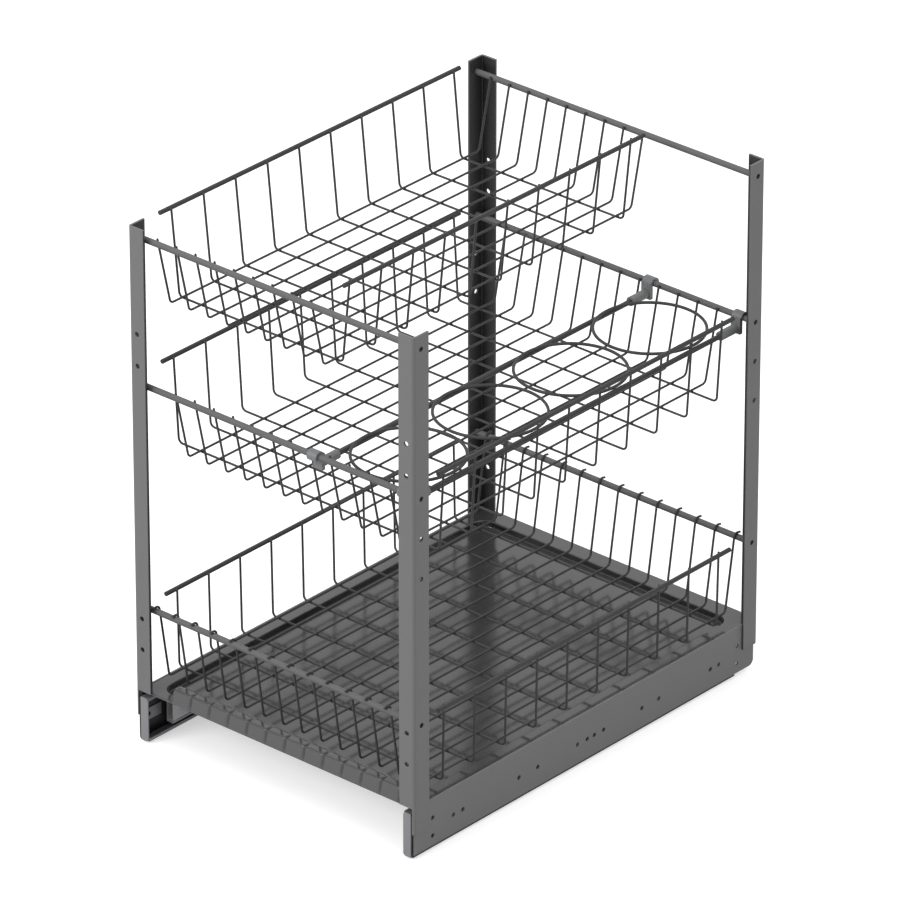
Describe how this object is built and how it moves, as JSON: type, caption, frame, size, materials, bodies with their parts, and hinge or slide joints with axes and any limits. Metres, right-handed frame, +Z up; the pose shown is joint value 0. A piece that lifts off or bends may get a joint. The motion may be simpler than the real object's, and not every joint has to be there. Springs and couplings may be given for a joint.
{
  "type": "pull out cabinet basket",
  "caption": "Pull-out cabinet unit: an upright frame on ball runners carries wire baskets, a bottle rack and a drip tray.",
  "frame": {"origin": "on the cabinet floor, under the middle of the frame's width and depth", "axes": "+Z up; -Y towards the front, the way the unit pulls out; +X to the right for someone standing in front"},
  "size_m": [0.34, 0.48, 0.5272],
  "materials": {
    "frame": "dark grey powder coat, fine and satin",
    "rods": "dark grey powder coat, satin",
    "wire": "dark grey powder coat, satin",
    "rack": "dark grey powder coat, satin",
    "clips": "moulded, fine matt",
    "tray": "moulded dark grey, semi-gloss",
    "zinc": "zinc plated, satin",
    "cage": "pressed sheet, zinc plated",
    "balls": "polished bearing steel",
    "rivets": "zinc plated"
  },
  "bodies": {
    "base": {"floor_bracket_left": "zinc", "floor_bracket_right": "zinc", "fixed_rail_left": "zinc", "fixed_rail_right": "zinc", "bracket_rivets": "rivets"},
    "middle_left": {"middle_rail_left": "zinc"},
    "middle_right": {"middle_rail_right": "zinc"},
    "outer_cage_left": {"outer_ball_cage_left": "cage", "outer_balls_left": "balls"},
    "outer_cage_right": {"outer_ball_cage_right": "cage", "outer_balls_right": "balls"},
    "inner_cage_left": {"inner_ball_cage_left": "cage", "inner_balls_left": "balls"},
    "inner_cage_right": {"inner_ball_cage_right": "cage", "inner_balls_right": "balls"},
    "carriage": {"drawer_rail_left": "zinc", "drawer_rail_right": "zinc", "rail_rivets": "rivets", "side_plate_left": "frame", "side_plate_right": "frame", "post_front_left": "frame", "post_front_right": "frame", "post_rear_left": "frame", "post_rear_right": "frame", "top_rod_front": "rods", "top_rod_rear": "rods", "middle_rod_front": "rods", "middle_rod_rear": "rods", "low_rod_front": "rods", "low_rod_rear": "rods", "drip_tray": "tray", "top_basket_long_wires": "wire", "top_basket_cross_wires": "wire", "top_basket_side_rods": "wire", "middle_basket_long_wires": "wire", "middle_basket_cross_wires": "wire", "middle_basket_side_rods": "wire"},
    "low_basket": {"low_basket_long_wires": "wire", "low_basket_cross_wires": "wire", "low_basket_side_rods": "wire"},
    "rack": {"rack_rods": "rack", "bottle_ring_1": "rack", "bottle_ring_2": "rack", "bottle_ring_3": "rack", "bottle_ring_4": "rack", "rack_clip_front_left": "clips", "rack_clip_front_right": "clips", "rack_clip_rear_left": "clips", "rack_clip_rear_right": "clips"}
  },
  "joints": [
    {"name": "carriage_pull", "type": "slide", "parent": "base", "child": "carriage", "axis": [0, -1, 0], "range_m": [0, 0.43]},
    {"name": "middle_left_slide", "type": "slide", "parent": "base", "child": "middle_left", "axis": [0, -1, 0], "range_m": [0, 0.215]},
    {"name": "outer_cage_left_slide", "type": "slide", "parent": "base", "child": "outer_cage_left", "axis": [0, -1, 0], "range_m": [0, 0.3225]},
    {"name": "inner_cage_left_slide", "type": "slide", "parent": "base", "child": "inner_cage_left", "axis": [0, -1, 0], "range_m": [0, 0.1075]},
    {"name": "middle_right_slide", "type": "slide", "parent": "base", "child": "middle_right", "axis": [0, -1, 0], "range_m": [0, 0.215]},
    {"name": "outer_cage_right_slide", "type": "slide", "parent": "base", "child": "outer_cage_right", "axis": [0, -1, 0], "range_m": [0, 0.3225]},
    {"name": "inner_cage_right_slide", "type": "slide", "parent": "base", "child": "inner_cage_right", "axis": [0, -1, 0], "range_m": [0, 0.1075]},
    {"name": "low_basket_lift", "type": "slide", "parent": "carriage", "child": "low_basket", "axis": [0, 0, 1], "range_m": [0, 0.08]},
    {"name": "rack_lift", "type": "slide", "parent": "carriage", "child": "rack", "axis": [0, 0, 1], "range_m": [0, 0.06]}
  ],
  "couplings": [
    {"joint": "middle_left_slide", "follows": "carriage_pull", "ratio": 0.5},
    {"joint": "outer_cage_left_slide", "follows": "carriage_pull", "ratio": 0.75},
    {"joint": "inner_cage_left_slide", "follows": "carriage_pull", "ratio": 0.25},
    {"joint": "middle_right_slide", "follows": "carriage_pull", "ratio": 0.5},
    {"joint": "outer_cage_right_slide", "follows": "carriage_pull", "ratio": 0.75},
    {"joint": "inner_cage_right_slide", "follows": "carriage_pull", "ratio": 0.25}
  ]
}
